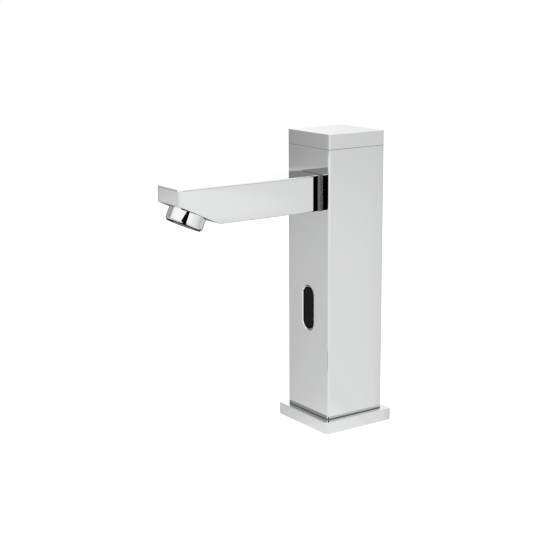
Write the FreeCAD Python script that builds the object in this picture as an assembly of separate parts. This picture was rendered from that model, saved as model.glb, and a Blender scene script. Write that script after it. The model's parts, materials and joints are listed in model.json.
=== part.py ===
import FreeCAD
import Part
import math
import os

# A deck-mounted sensor tap: a square column on a base plate, a lift-off cap, one straight spout
# with a bevelled tip and a screwed-on aerator, and the valve, sensor, control unit and battery inside.
# Millimetres. The origin is on the column's axis in the deck's plane, +Z is up and the spout points
# towards -Y.

# Column, cap and base plate
column_width = 46.0
column_wall = 2.5
column_edge_radius = 1.2
seam_bevel = 0.15
cap_top_thickness = 2.5
cap_rim_wall = 1.4
cap_rim_depth = 6.0
cap_rim_gap = 1.6
cap_gasket_thickness = 0.25
cap_gasket_inset = 0.25
foot_gasket_thickness = 0.6
foot_gasket_inset = 0.35
plate_margin = 4.9
plate_thickness = 8.2
plate_corner_radius = 1.4
plate_edge_radius = 0.5
deck_gasket_thickness = 1.2
deck_gasket_border = 3.4

# Spout
spout_width = 27.8
spout_height = 24.1
spout_reach = 107.5
spout_tip_height = 10.25
spout_bevel_run = 29.8
spout_wall = 2.5
spout_root_thickness = 8.0
spout_edge_radius = 1.0
spout_corner_radius = 2.8
spout_root_bevel = 0.3
spout_gasket_thickness = 2.0
spout_gasket_inset = 0.2

# Aerator, measured outwards from the bevelled face
aerator_from_tip = 15.9
aerator_ring_radius = 12.3
aerator_ring_length = 8.35
aerator_ring_wall = 0.86
aerator_ring_bevel = 1.1
aerator_lip_width = 2.1
aerator_lip_thickness = 1.42
nipple_wall = 1.9
thread_pitch = 1.0
thread_depth = 0.35
aerator_washer_thickness = 1.4
aerator_washer_gap = 0.18
cartridge_wall = 0.9
cartridge_depth = 7.5
cartridge_flange_thickness = 1.8
grid_thickness = 1.1
grid_hole_radius = 0.8
grid_hole_spacing = 2.3
grid_hole_rings = 3
screen_thickness = 0.3

# Spout tail, its nut and the riser tube
tail_radius = 8.0
tail_inner_length = 12.0
tail_bore_radius = 2.6
spout_washer_thickness = 1.5
spout_washer_margin = 2.0
spout_nut_thickness = 5.0
spout_nut_across_flats = 22.0
spout_gap = 5.25
riser_radius = 3.5
riser_wall = 1.0
riser_bend_radius = 10.0
riser_back_gap = 0.7
riser_front_gap = 1.1
riser_socket_depth = 5.0
gland_width = 1.3
gland_ring_count = 2
gland_thread_length = 3.5
gland_head_length = 4.0
gland_across_flats = 11.0

# Valve block
block_spigot_radius = 16.5
block_spigot_length = 7.2
stud_hole_radius = 2.5
stud_hole_depth = 13.0
stud_hole_spacing = 23.0
stud_hole_y = 3.0
inlet_thread_radius = 4.5
inlet_thread_depth = 9.0
inlet_offset = 3.0
cartridge_bore_radius = 4.3
passage_radius = 1.5
passage_circle = 7.0
passage_step_degrees = 25.0
annulus_radius = 10.5
annulus_depth = 7.5
seat_radius = 3.2
seat_wall = 1.6
outlet_bore_radius = 2.8
outlet_roof = 2.2
outlet_floor = 2.7
plug_radius = 3.5
plug_length = 2.3

# Diaphragm, bonnet and solenoid
bead_width = 1.5
bead_height = 2.0
membrane_thickness = 1.0
insert_disc_radius = 6.0
insert_disc_thickness = 1.0
insert_stem_radius = 2.5
insert_stem_length = 3.0
nozzle_radius = 1.2
nozzle_height = 0.8
pilot_radius = 0.5
bonnet_side_gap = 1.7
bonnet_front_gap = 2.0
bonnet_back_gap = 0.3
bonnet_thickness = 4.5
bonnet_corner_radius = 3.0
bonnet_chamber_depth = 2.6
bonnet_neck_radius = 6.5
bonnet_neck_height = 1.3
plunger_radius = 3.65
plunger_length = 7.9
plunger_travel = 1.6
plunger_spring_bore = 2.0
plunger_spring_depth = 5.0
plunger_seal_radius = 2.5
plunger_seal_thickness = 1.65
plunger_seal_pocket = 1.0
core_tube_wall = 0.4
core_flange_width = 1.1
core_flange_thickness = 0.8
core_stub_radius = 2.5
core_nut_across_flats = 8.0
core_nut_thickness = 1.8
bobbin_wall = 0.7
bobbin_flange_thickness = 0.8
winding_radius = 8.8
winding_length = 5.1
magnet_thickness = 2.1
yoke_thickness = 1.2
yoke_depth = 13.0
yoke_side_gap = 0.8
lug_length = 3.2
lug_width = 4.0

# Check valve and strainer
cage_wall = 1.0
cage_length = 8.8
cage_seat_thickness = 1.5
cage_seat_radius = 2.4
cage_guide_thickness = 1.0
cage_port_radius = 0.8
cage_port_circle = 2.1
cage_port_count = 4
cage_groove_depth = 0.6
cage_groove_width = 1.0
cage_groove_height = 2.5
poppet_radius = 2.9
poppet_thickness = 1.0
poppet_stem_radius = 0.7
poppet_stem_grip = 0.65
poppet_travel = 2.0
strainer_height = 3.1
strainer_flange_thickness = 0.6
strainer_wall = 0.35
strainer_taper = 1.2
strainer_slot_count = 10
strainer_slot_width = 0.45

# Springs
plunger_spring_radius = 1.5
plunger_spring_wire = 0.2
plunger_spring_turns = 6
check_spring_radius = 1.5
check_spring_wire = 0.2
check_spring_turns = 6

# Sensor window and sensor module
lens_width = 12.5
lens_height = 30.6
lens_recess = 0.3
lens_edge_radius = 0.4
lens_flange_width = 1.8
lens_flange_thickness = 1.2
window_clearance = 0.15
window_bevel = 0.45
sensor_gasket_thickness = 0.6
sensor_housing_depth = 7.6
sensor_housing_wall = 1.2
sensor_housing_overhang = 0.9
sensor_barrier_thickness = 1.2
sensor_board_thickness = 1.0
sensor_ear_width = 6.4
sensor_boss_gap = 1.35
sensor_gap = 0.4
led_radius = 1.5
led_length = 4.6
led_flange_thickness = 1.0
led_spacing = 16.0

# Control unit
control_width = 33.0
control_height = 38.0
control_wall = 1.4
control_gap = 0.3
control_lid_thickness = 1.6
control_board_thickness = 1.2
control_board_standoff = 5.6
control_ear_width = 6.0
control_ear_reach = 5.8
control_screw_x = 12.0
control_post_radius = 2.4
control_post_overlap = 1.0
control_standoff_radius = 1.5
control_standoff_x = 8.0
control_standoff_z = 11.0
capacitor_radius = 4.0
capacitor_headroom = 4.7
chip_size = 9.0
chip_thickness = 1.6
connector_width = 4.6
connector_height = 4.0
connector_depth = 5.2
boss_radius = 2.8
boss_height = 4.0
ear_thickness = 1.6

# Battery and tray
battery_height = 19.5
battery_edge_radius = 2.5
battery_headroom = 2.2
tray_height = 8.5
tray_floor_thickness = 1.6
tray_gap = 0.25
tray_side_wall = 1.9
tray_front_wall = 1.4
tray_back_wall = 0.8
ledge_reach = 1.6
ledge_height = 5.0
ledge_length = 24.0
contact_width = 5.0
contact_thickness = 0.4
contact_tail = 2.0
contact_spacing = 16.0

# Leads
lead_radius = 1.1
lead_bend_radius = 3.0
lead_board_gap = 2.8
coil_lead_rise = 8.0
coil_lead_straight = 16.0
sensor_lead_x = -4.0
coil_lead_x = 4.0
battery_lead_gap = 1.9

# Screws: shank radius, length under the head, head radius, head height
plate_screw = (1.5, 11.0, 3.0, 1.7)
bonnet_screw = (1.5, 12.0, 2.75, 2.0)
small_screw = (1.2, 3.8, 2.2, 1.6)
lid_screw = (0.95, 6.0, 1.9, 1.2)
plate_screw_wall = 2.0
bonnet_screw_inset = 3.0
block_grub_radius = 2.0
block_grub_length = 5.4
block_grub_spacing = 20.0
block_grub_rise = 9.8
cap_grub_radius = 1.5
cap_grub_below_seam = 3.0
grub_socket_share = 0.55
socket_floor_share = 0.4

# Clearances
slide_clearance = 0.3
seat_clearance = 0.05
thread_clearance = 0.03
running_clearance = 0.06
part_gap = 0.1
wide_gap = 0.2
loose_gap = 0.3
end_gap = 0.4
gasket_hole_gap = 0.5
ring_gap = 0.15

# Places worked out from the sizes above: across the column
half_column = column_width / 2
half_cavity = half_column - column_wall
plate_width = column_width + 2 * plate_margin
front_wall_in = -half_cavity
inner_fit = half_cavity - slide_clearance
riser_offset = half_cavity - riser_back_gap - gland_across_flats / 2
bonnet_front = front_wall_in + bonnet_front_gap
bonnet_back = riser_offset - gland_across_flats / 2 - bonnet_back_gap
bonnet_half_width = inner_fit - bonnet_side_gap
valve_y = (bonnet_front + bonnet_back) / 2
inlet_y = valve_y - inlet_offset
plate_screw_place = (block_spigot_radius + plate_screw[2] + plate_screw_wall) / math.sqrt(2)

# Up through the valve block
block_base = plate_thickness
column_base = plate_thickness + foot_gasket_thickness
spigot_base = block_base - block_spigot_length
block_grub_height = block_base + block_grub_rise
inlet_shoulder = spigot_base + inlet_thread_depth
cage_radius = cartridge_bore_radius - part_gap
cage_base = inlet_shoulder + seat_clearance + strainer_height + loose_gap
cage_top = cage_base + cage_length
cage_guide_base = cage_top - cage_guide_thickness
poppet_base = cage_base + cage_seat_thickness + seat_clearance
poppet_top = poppet_base + poppet_thickness
poppet_stem_top = cage_guide_base + poppet_stem_grip
cartridge_top = poppet_stem_top + poppet_travel + part_gap
outlet_z = cartridge_top + outlet_floor + outlet_bore_radius
annulus_floor = outlet_z + outlet_bore_radius + outlet_roof
membrane_base = annulus_floor + annulus_depth
block_top = membrane_base + bead_height
bead_radius = annulus_radius + bead_width
gland_radius = riser_radius + gland_width
gland_ring_length = gland_ring_count * (gland_width - part_gap / 2)
gland_depth = gland_ring_length + gland_thread_length
riser_foot = block_top - gland_depth - riser_socket_depth

# Up through the bonnet and the solenoid
bonnet_top = block_top + bonnet_thickness
neck_top = bonnet_top + bonnet_neck_height
membrane_top = membrane_base + membrane_thickness
insert_top = membrane_top + insert_disc_thickness
nozzle_top = insert_top + nozzle_height
seal_base = nozzle_top + seat_clearance
plunger_base = seal_base + plunger_seal_thickness - plunger_seal_pocket
plunger_top = plunger_base + plunger_length
core_base = plunger_top + plunger_travel + end_gap
tube_bore_radius = plunger_radius + part_gap
tube_radius = tube_bore_radius + core_tube_wall
bobbin_base = neck_top + yoke_thickness + part_gap
bobbin_top = bobbin_base + winding_length + 2 * bobbin_flange_thickness + part_gap
magnet_base = bobbin_top + part_gap
magnet_top = magnet_base + magnet_thickness
yoke_inner_top = magnet_top + part_gap
yoke_top = yoke_inner_top + yoke_thickness
core_stub_top = yoke_top + core_nut_thickness + loose_gap
bobbin_bore_radius = tube_radius + part_gap
lug_y = valve_y + winding_radius + lug_length / 2

# Sensor window and module, above the solenoid
sensor_half_width = lens_width / 2 + lens_flange_width + sensor_housing_overhang
sensor_half_height = lens_height / 2 + lens_flange_width + sensor_housing_overhang
lens_centre_height = core_stub_top + sensor_gap + sensor_half_height
window_half_width = lens_width / 2 + window_clearance
lens_front_y = -half_column + lens_recess
lens_flange_y = front_wall_in + sensor_gasket_thickness
lens_back_y = lens_flange_y + lens_flange_thickness
sensor_back_y = lens_back_y + sensor_housing_depth
sensor_board_y = sensor_back_y - sensor_housing_wall - part_gap - sensor_board_thickness
sensor_screw_x = sensor_half_width + sensor_boss_gap + boss_radius
sensor_ear_end = sensor_screw_x + boss_radius + seat_clearance

# Control unit, above the sensor module and in front of the riser tube
boss_face_y = front_wall_in + boss_height
control_back_y = riser_offset - riser_radius - riser_front_gap - lid_screw[3] - control_lid_thickness
control_base_height = lens_centre_height + sensor_half_height + control_gap + control_ear_reach
control_top_height = control_base_height + control_height
control_centre_height = control_base_height + control_height / 2
control_board_y = boss_face_y + control_wall + control_board_standoff
control_board_back = control_board_y + control_board_thickness
capacitor_length = control_back_y - control_board_back - capacitor_headroom
low_connector_z = control_base_height + connector_height
high_connector_z = control_top_height - 2 * connector_height
lead_plane_y = control_board_back + lead_board_gap
battery_lead_x = -(gland_across_flats / 2 + lead_radius + battery_lead_gap)

# Spout, above the control unit
spout_washer_radius = spout_nut_across_flats / 2 + spout_washer_margin
spout_axis_height = control_top_height + spout_gap + spout_washer_radius
spout_root_y = -half_column - spout_gasket_thickness
spout_tip_y = -half_column - spout_reach
spout_top = spout_axis_height + spout_height / 2
spout_bottom = spout_axis_height - spout_height / 2
spout_bevel_y = spout_tip_y + spout_bevel_run
bevel_rise = spout_height - spout_tip_height
bevel_angle = math.atan2(bevel_rise, spout_bevel_run)
bevel_length = math.hypot(bevel_rise, spout_bevel_run)
aerator_along = bevel_length - aerator_from_tip
aerator_y = spout_bevel_y - aerator_along * math.cos(bevel_angle)
aerator_z = spout_bottom + aerator_along * math.sin(bevel_angle)
aerator_centre = FreeCAD.Vector(0, aerator_y, aerator_z)
aerator_turn = FreeCAD.Rotation(FreeCAD.Vector(1, 0, 0), 180 - math.degrees(bevel_angle))
tail_end_y = front_wall_in + tail_inner_length
riser_head_y = tail_end_y - gland_depth - riser_socket_depth + slide_clearance

# Aerator, outwards from the bevelled face
ring_bore_radius = aerator_ring_radius - aerator_ring_wall
nipple_radius = ring_bore_radius - running_clearance
lip_radius = aerator_ring_radius - aerator_lip_width
lip_start = aerator_ring_length - aerator_lip_thickness
flange_end = lip_start - seat_clearance
flange_start = flange_end - cartridge_flange_thickness
washer_end = flange_start - aerator_washer_gap
washer_start = washer_end - aerator_washer_thickness
nipple_length = washer_start - part_gap
cartridge_radius = nipple_radius - nipple_wall - slide_clearance
cartridge_start = flange_start - cartridge_depth

# Battery tray, battery and cap, above the spout's nut
tray_base_height = spout_axis_height + spout_washer_radius + tray_gap
tray_floor = tray_base_height + tray_floor_thickness
tray_top = tray_base_height + tray_height
battery_depth = 2 * (inner_fit - cap_rim_wall - slide_clearance)
battery_width = 2 * (inner_fit - tray_side_wall - slide_clearance)
battery_base = tray_floor + wide_gap
battery_top = battery_base + battery_height
battery_pocket_back = inner_fit - tray_back_wall
contact_y = battery_depth / 2 + loose_gap
cap_base = tray_top + cap_rim_gap + cap_rim_depth
cap_top = battery_top + battery_headroom + cap_top_thickness
column_top = cap_base - cap_gasket_thickness
seam_screw_z = column_top - cap_grub_below_seam
cap_grub_length = column_wall - part_gap


def vector(x, y, z):
    return FreeCAD.Vector(x, y, z)


def block(x_low, x_high, y_low, y_high, z_low, z_high):
    return Part.makeBox(x_high - x_low, y_high - y_low, z_high - z_low, vector(x_low, y_low, z_low))


def square_post(width, z_low, z_high):
    half = width / 2
    return block(-half, half, -half, half, z_low, z_high)


def rod(radius, start, end):
    way = end.sub(start)
    return Part.makeCylinder(radius, way.Length, start, way)


def upright(radius, x, y, z_low, z_high):
    return rod(radius, vector(x, y, z_low), vector(x, y, z_high))


def lying(radius, x, z, y_low, y_high):
    return rod(radius, vector(x, y_low, z), vector(x, y_high, z))


def ring(outer_radius, inner_radius, x, y, z_low, z_high):
    return upright(outer_radius, x, y, z_low, z_high).cut(upright(inner_radius, x, y, z_low, z_high))


def hexagon(across_flats, start, way, length, flat_normal):
    """A hexagonal prism from start along way, with two of its flats square to flat_normal."""
    corner = across_flats / math.sqrt(3)
    side = way.cross(flat_normal)
    points = []
    for step in range(7):
        angle = math.radians(60 * step)
        offset = vector(*side).multiply(corner * math.cos(angle))
        offset = offset.add(vector(*flat_normal).multiply(corner * math.sin(angle)))
        points.append(start.add(offset))
    return Part.Face(Part.makePolygon(points)).extrude(vector(*way).multiply(length))


def stadium(width, height, centre_z, y_low, y_high):
    """A prism along Y whose outline is a stadium standing upright."""
    half = width / 2
    upper = centre_z + height / 2 - half
    lower = centre_z - height / 2 + half
    right = Part.LineSegment(vector(half, y_low, lower), vector(half, y_low, upper))
    crown = Part.Arc(vector(half, y_low, upper), vector(0, y_low, upper + half), vector(-half, y_low, upper))
    left = Part.LineSegment(vector(-half, y_low, upper), vector(-half, y_low, lower))
    foot = Part.Arc(vector(-half, y_low, lower), vector(0, y_low, lower - half), vector(half, y_low, lower))
    outline = Part.Wire([right.toShape(), crown.toShape(), left.toShape(), foot.toShape()])
    return Part.Face(outline).extrude(vector(0, y_high - y_low, 0))


def edges_where(shape, test):
    """The edges whose ends and middle all pass the test."""
    found = []
    for edge in shape.Edges:
        middle = edge.valueAt((edge.FirstParameter + edge.LastParameter) / 2)
        if all(test(point) for point in [v.Point for v in edge.Vertexes] + [middle]):
            found.append(edge)
    return found


def upright_edges(shape):
    """The straight edges that run along Z."""
    found = []
    for edge in shape.Edges:
        if len(edge.Vertexes) == 2:
            run = edge.Vertexes[1].Point.sub(edge.Vertexes[0].Point)
            if math.hypot(run.x, run.y) < 1e-6 and abs(run.z - edge.Length * math.copysign(1, run.z)) < 1e-6:
                found.append(edge)
    return found


def rounded_post(width, z_low, z_high, radius):
    post = square_post(width, z_low, z_high)
    return post.makeFillet(radius, upright_edges(post))


def tube_along(points, bend_radius, radius):
    """A round solid along straight runs joined by tangent arcs of one bend radius."""
    edges = []
    start = points[0]
    for here, after in zip(points[1:-1], points[2:]):
        before = here.sub(start).normalize()
        onward = after.sub(here).normalize()
        turn = before.getAngle(onward)
        back_off = bend_radius * math.tan(turn / 2)
        arc_start = here.sub(vector(*before).multiply(back_off))
        arc_end = here.add(vector(*onward).multiply(back_off))
        inward = vector(*onward).sub(before).normalize()
        depth = bend_radius / math.cos(turn / 2) - bend_radius
        arc_middle = here.add(inward.multiply(depth))
        edges.append(Part.LineSegment(start, arc_start).toShape())
        edges.append(Part.Arc(arc_start, arc_middle, arc_end).toShape())
        start = arc_end
    edges.append(Part.LineSegment(start, points[-1]).toShape())
    path = Part.Wire(edges)
    way = points[1].sub(points[0])
    section = Part.Wire(Part.makeCircle(radius, points[0], way))
    return path.makePipeShell([section], True, False)


def helical_spring(radius, wire, turns, x, y, z_low, z_high):
    """A round-wire compression spring between two heights, ends included."""
    rise = z_high - z_low - 2 * wire
    path = Part.makeHelix(rise / turns, rise, radius)
    section = Part.Wire(Part.makeCircle(wire, vector(radius, 0, 0), vector(0, 1, 0)))
    spring = Part.Wire(path).makePipeShell([section], True, True)
    spring.translate(vector(x, y, z_low + wire))
    return spring


def screw(sizes, seat, way, recess_share=0.45):
    """A cap screw: the head's underside is at seat and the shank points along way."""
    shank_radius, length, head_radius, head_height = sizes
    back = vector(*way).multiply(-1)
    head_end = seat.add(vector(*back).multiply(head_height))
    shank = rod(shank_radius, seat, seat.add(vector(*way).multiply(length)))
    head = rod(head_radius, seat, head_end)
    recess_start = seat.add(vector(*back).multiply(head_height * socket_floor_share))
    flat_normal = vector(1, 0, 0)
    recess = hexagon(2 * head_radius * recess_share, recess_start, back, head_height, flat_normal)
    return head.fuse(shank).cut(recess).removeSplitter()


def screw_hole(sizes, seat, way):
    shank_radius, length = sizes[:2]
    end = seat.add(vector(*way).multiply(length + part_gap))
    return rod(shank_radius + thread_clearance, seat, end)


def grub_screw(radius, length, x, z, y_outer):
    """A socket set screw along Y whose socket end is at y_outer and faces +Y."""
    body = lying(radius, x, z, y_outer - length, y_outer)
    socket_depth = length * socket_floor_share
    start = vector(x, y_outer - socket_depth, z)
    socket = hexagon(2 * radius * grub_socket_share, start, vector(0, 1, 0), socket_depth, vector(0, 0, 1))
    return body.cut(socket)


def o_ring(major, minor, centre, way):
    return Part.makeTorus(major, minor, centre, way)


def on_aerator_axis(shape):
    """Carry a shape drawn along +Z from the origin to the aerator's axis, +Z pointing out of the spout."""
    placed = shape.copy()
    placed.Placement = FreeCAD.Placement(aerator_centre, aerator_turn)
    return placed


# Places that several pieces share
sensor_bosses = [(side * sensor_screw_x, lens_centre_height) for side in (-1, 1)]
control_boss_heights = (
    control_base_height - control_ear_reach + control_ear_width / 2,
    control_top_height + control_ear_reach - control_ear_width / 2,
)
control_bosses = [(side * control_screw_x, z) for side in (-1, 1) for z in control_boss_heights]
post_reach = control_width / 2 - control_wall - control_post_radius + control_post_overlap
post_rise = control_height / 2 - control_wall - control_post_radius + control_post_overlap
lid_post_heights = (control_centre_height - post_rise, control_centre_height + post_rise)
lid_posts = [(x, z) for x in (-post_reach, post_reach) for z in lid_post_heights]
bonnet_screw_x = bonnet_half_width - bonnet_screw_inset
bonnet_screw_rows = (bonnet_front + bonnet_screw_inset, bonnet_back - bonnet_screw_inset)
bonnet_screws_at = [(x, y) for x in (-bonnet_screw_x, bonnet_screw_x) for y in bonnet_screw_rows]
plate_screws_at = [
    (x, y) for x in (-plate_screw_place, plate_screw_place) for y in (-plate_screw_place, plate_screw_place)
]
block_grubs_at = [-block_grub_spacing / 2, block_grub_spacing / 2]
led_heights = [lens_centre_height - led_spacing / 2, lens_centre_height + led_spacing / 2]
low_leads = [sensor_lead_x, coil_lead_x]


def column_body():
    body = rounded_post(column_width, column_base, column_top, column_edge_radius)
    rim = edges_where(body, lambda p: p.z > column_top - 1e-6)
    body = body.makeChamfer(seam_bevel, rim)
    body = body.cut(square_post(2 * half_cavity, column_base, column_top))
    for side in (-1, 1):
        inner = side * (half_cavity - ledge_reach)
        outer = side * half_cavity
        low, high = min(inner, outer), max(inner, outer)
        ledge_base = tray_base_height - ledge_height
        ledge = block(low, high, -ledge_length / 2, ledge_length / 2, ledge_base, tray_base_height)
        body = body.fuse(ledge)
    for x, z in sensor_bosses + control_bosses:
        boss = lying(boss_radius, x, z, front_wall_in, boss_face_y)
        body = body.fuse(boss)
        seat = vector(x, boss_face_y + ear_thickness, z)
        body = body.cut(screw_hole(small_screw, seat, vector(0, -1, 0)))
    outside = -half_column - 1
    window_height = lens_height + 2 * window_clearance
    window = stadium(2 * window_half_width, window_height, lens_centre_height, outside, front_wall_in)
    body = body.cut(window)
    window_top = lens_centre_height + window_height / 2 + 1e-3
    window_foot = lens_centre_height - window_height / 2 - 1e-3
    mouth = edges_where(
        body,
        lambda p: abs(p.y + half_column) < 1e-6 and window_foot < p.z < window_top and abs(p.x) < lens_width,
    )
    body = body.makeChamfer(window_bevel, mouth)
    body = body.cut(lying(tail_radius + slide_clearance, 0, spout_axis_height, outside, front_wall_in + 1))
    for x in block_grubs_at:
        hole_radius = block_grub_radius + thread_clearance
        body = body.cut(lying(hole_radius, x, block_grub_height, half_cavity - 1, half_column + 1))
    cap_hole_radius = cap_grub_radius + thread_clearance
    body = body.cut(lying(cap_hole_radius, 0, seam_screw_z, half_cavity - 1, half_column + 1))
    return body.removeSplitter()


def top_cap():
    cap = rounded_post(column_width, cap_base, cap_top, column_edge_radius)
    rims = edges_where(cap, lambda p: p.z > cap_top - 1e-6 or p.z < cap_base + 1e-6)
    cap = cap.makeChamfer(seam_bevel, rims)
    rim_base = cap_base - cap_rim_depth
    cap = cap.fuse(square_post(2 * inner_fit, rim_base, cap_base))
    hollow_width = 2 * (inner_fit - cap_rim_wall)
    cap = cap.cut(square_post(hollow_width, rim_base, cap_top - cap_top_thickness))
    return cap.removeSplitter()


def cap_gasket():
    outer = square_post(column_width - 2 * cap_gasket_inset, column_top, cap_base)
    return outer.cut(square_post(2 * half_cavity, column_top, cap_base))


def foot_gasket():
    outer = square_post(column_width - 2 * foot_gasket_inset, plate_thickness, column_base)
    return outer.cut(square_post(2 * half_cavity, plate_thickness, column_base))


def base_plate():
    plate = rounded_post(plate_width, 0, plate_thickness, plate_corner_radius)
    plate = plate.makeFillet(plate_edge_radius, edges_where(plate, lambda p: p.z > plate_thickness - 1e-6))
    opening_radius = block_spigot_radius + part_gap
    plate = plate.cut(upright(opening_radius, 0, 0, 0, plate_thickness))
    recess_width = plate_width - 2 * deck_gasket_border + wide_gap
    plate = plate.cut(square_post(recess_width, 0, deck_gasket_thickness))
    shank_radius, _, head_radius, head_height = plate_screw
    head_top = deck_gasket_thickness + head_height + part_gap
    for x, y in plate_screws_at:
        plate = plate.cut(upright(head_radius + part_gap, x, y, deck_gasket_thickness, head_top))
        plate = plate.cut(upright(shank_radius + part_gap, x, y, head_top, plate_thickness))
    return plate.removeSplitter()


def deck_gasket():
    gasket = square_post(plate_width - 2 * deck_gasket_border, 0, deck_gasket_thickness)
    return gasket.cut(upright(block_spigot_radius + gasket_hole_gap, 0, 0, 0, deck_gasket_thickness))


def plate_screws():
    head_top = deck_gasket_thickness + plate_screw[3] + part_gap
    return [screw(plate_screw, vector(x, y, head_top), vector(0, 0, 1)) for x, y in plate_screws_at]


def valve_block():
    body = square_post(2 * inner_fit, block_base, block_top)
    body = body.fuse(upright(block_spigot_radius, 0, 0, spigot_base, block_base))
    cuts = []
    for side in (-1, 1):
        x = side * stud_hole_spacing / 2
        cuts.append(upright(stud_hole_radius, x, stud_hole_y, spigot_base, spigot_base + stud_hole_depth))
    head_top = deck_gasket_thickness + plate_screw[3] + part_gap
    for x, y in plate_screws_at:
        cuts.append(screw_hole(plate_screw, vector(x, y, head_top), vector(0, 0, 1)))
    cuts.append(upright(inlet_thread_radius, 0, inlet_y, spigot_base, inlet_shoulder))
    cuts.append(upright(cartridge_bore_radius, 0, inlet_y, inlet_shoulder, cartridge_top))
    for step in (-1, 0, 1):
        angle = math.radians(passage_step_degrees * step)
        x = passage_circle * math.sin(angle)
        y = valve_y - passage_circle * math.cos(angle)
        cuts.append(upright(passage_radius, x, y, cartridge_top - 1, annulus_floor + 1))
    cuts.append(ring(annulus_radius, seat_radius + seat_wall, 0, valve_y, annulus_floor, membrane_base))
    cuts.append(upright(bead_radius + part_gap, 0, valve_y, membrane_base, block_top))
    cuts.append(upright(seat_radius, 0, valve_y, outlet_z - outlet_bore_radius, block_top))
    cuts.append(lying(outlet_bore_radius, 0, outlet_z, valve_y, inner_fit))
    plug_hole_radius = plug_radius + thread_clearance
    cuts.append(lying(plug_hole_radius, 0, outlet_z, inner_fit - plug_length - part_gap, inner_fit))
    cuts.append(upright(riser_radius - riser_wall, 0, riser_offset, outlet_z, riser_foot))
    cuts.append(upright(riser_radius + seat_clearance, 0, riser_offset, riser_foot, block_top))
    cuts.append(upright(gland_radius, 0, riser_offset, block_top - gland_depth, block_top))
    for x, y in bonnet_screws_at:
        cuts.append(screw_hole(bonnet_screw, vector(x, y, bonnet_top), vector(0, 0, -1)))
    for x in block_grubs_at:
        tip = half_column - part_gap - block_grub_length
        cuts.append(lying(block_grub_radius + thread_clearance, x, block_grub_height, tip, inner_fit))
    for cut in cuts:
        body = body.cut(cut)
    return body.removeSplitter()


def block_grub_screws():
    outer = half_column - part_gap
    sizes = (block_grub_radius, block_grub_length)
    return [grub_screw(*sizes, x, block_grub_height, outer) for x in block_grubs_at]


def cap_grub_screw():
    return grub_screw(cap_grub_radius, cap_grub_length, 0, seam_screw_z, half_column - part_gap)


def passage_plug():
    return grub_screw(plug_radius, plug_length, 0, outlet_z, inner_fit)


def inlet_strainer():
    """A thimble-shaped strainer with upright slots, its flange downwards."""
    base = inlet_shoulder + seat_clearance
    top = base + strainer_height
    flange_radius = cartridge_bore_radius - part_gap
    thimble_radius = flange_radius - strainer_taper
    inner_radius = thimble_radius - strainer_wall
    body = upright(flange_radius, 0, inlet_y, base, base + strainer_flange_thickness)
    body = body.fuse(upright(thimble_radius, 0, inlet_y, base, top))
    body = body.cut(upright(inner_radius, 0, inlet_y, base, top - strainer_wall))
    for step in range(strainer_slot_count):
        slot_base = base + 2 * strainer_flange_thickness
        slot = block(
            inner_radius / 2,
            flange_radius,
            -strainer_slot_width / 2,
            strainer_slot_width / 2,
            slot_base,
            top - 2 * strainer_wall,
        )
        slot.rotate(vector(0, 0, 0), vector(0, 0, 1), 360 * step / strainer_slot_count)
        slot.translate(vector(0, inlet_y, 0))
        body = body.cut(slot)
    return body.removeSplitter()


def check_valve_cage():
    body = upright(cage_radius, 0, inlet_y, cage_base, cage_top)
    inner_radius = cage_radius - cage_wall
    body = body.cut(upright(inner_radius, 0, inlet_y, cage_base + cage_seat_thickness, cage_guide_base))
    body = body.cut(upright(cage_seat_radius, 0, inlet_y, cage_base, cage_base + cage_seat_thickness))
    body = body.cut(upright(poppet_stem_radius + part_gap, 0, inlet_y, cage_guide_base, cage_top))
    for step in range(cage_port_count):
        angle = 2 * math.pi * step / cage_port_count
        x = cage_port_circle * math.cos(angle)
        y = inlet_y + cage_port_circle * math.sin(angle)
        body = body.cut(upright(cage_port_radius, x, y, cage_guide_base, cage_top))
    groove_base = cage_base + cage_groove_height
    groove_top = groove_base + cage_groove_width
    groove = ring(cage_radius + 1, cage_radius - cage_groove_depth, 0, inlet_y, groove_base, groove_top)
    return body.cut(groove)


def check_valve_o_ring():
    room = cage_groove_depth + part_gap
    minor = room / 2 - part_gap / 4
    centre_z = cage_base + cage_groove_height + cage_groove_width / 2
    return o_ring(cartridge_bore_radius - room / 2, minor, vector(0, inlet_y, centre_z), vector(0, 0, 1))


def check_valve_poppet():
    body = upright(poppet_radius, 0, inlet_y, poppet_base, poppet_top)
    stem = upright(poppet_stem_radius, 0, inlet_y, poppet_top, poppet_stem_top)
    return body.fuse(stem).removeSplitter()


def check_valve_spring():
    low = poppet_top + seat_clearance
    high = cage_guide_base - seat_clearance
    return helical_spring(
        check_spring_radius, check_spring_wire, check_spring_turns, 0, inlet_y, low, high
    )


def diaphragm():
    """A flat rubber membrane with a thick bead round its rim."""
    membrane = upright(bead_radius, 0, valve_y, membrane_base, membrane_top)
    bead = ring(bead_radius, annulus_radius + part_gap, 0, valve_y, membrane_top, block_top)
    hole = upright(insert_stem_radius + part_gap, 0, valve_y, membrane_base, membrane_top)
    return membrane.fuse(bead).cut(hole).removeSplitter()


def diaphragm_insert():
    body = upright(insert_disc_radius, 0, valve_y, membrane_top, insert_top)
    stem_base = membrane_top - insert_stem_length
    body = body.fuse(upright(insert_stem_radius, 0, valve_y, stem_base, membrane_top))
    body = body.fuse(upright(nozzle_radius, 0, valve_y, insert_top, nozzle_top))
    pilot = upright(pilot_radius, 0, valve_y, stem_base, nozzle_top)
    return body.cut(pilot).removeSplitter()


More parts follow.
